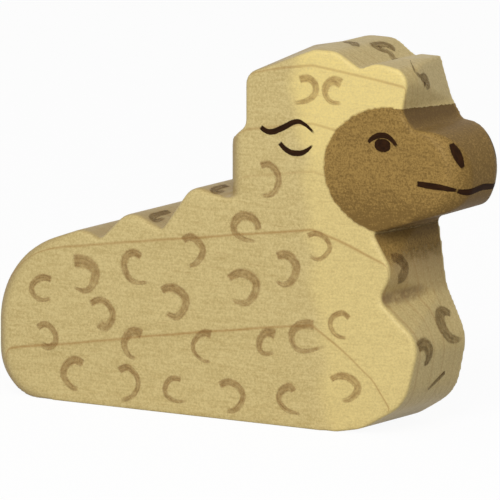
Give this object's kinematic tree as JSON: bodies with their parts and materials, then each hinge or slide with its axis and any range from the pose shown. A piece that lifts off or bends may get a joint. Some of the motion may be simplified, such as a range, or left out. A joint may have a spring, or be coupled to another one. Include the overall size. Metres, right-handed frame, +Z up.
{
  "type": "sheep figurine",
  "caption": "Lying sheep figurine sawn from a wooden board, rounded by hand, with a stained face and painted wool curls, resting on its flat underside.",
  "frame": {"origin": "middle of the flat underside, below the centre of the bounding box", "axes": "+X from the rump towards the nose, Y across the board's thickness with the sheep's right flank at -Y, +Z up"},
  "size_m": [0.1018, 0.0222, 0.0711],
  "materials": {
    "bare_wood": "pale sanded maple, oiled matt",
    "stained_wood": "brown water stain, grain showing",
    "dark_paint": "thin dark brown paint stroke, matt",
    "curl_stain": "thin brown glaze stroke, matt"
  },
  "bodies": {
    "root": {"wood_body": "bare_wood", "face_stain": "stained_wood", "right_eye": "dark_paint", "left_eye": "dark_paint", "right_nostril": "dark_paint", "left_nostril": "dark_paint", "mouth_line": "dark_paint", "right_ear_lines": "dark_paint", "left_ear_lines": "dark_paint", "right_wool_curls": "curl_stain", "left_wool_curls": "curl_stain", "chest_wool_curls": "curl_stain", "top_wool_curls": "curl_stain"}
  },
  "joints": []
}
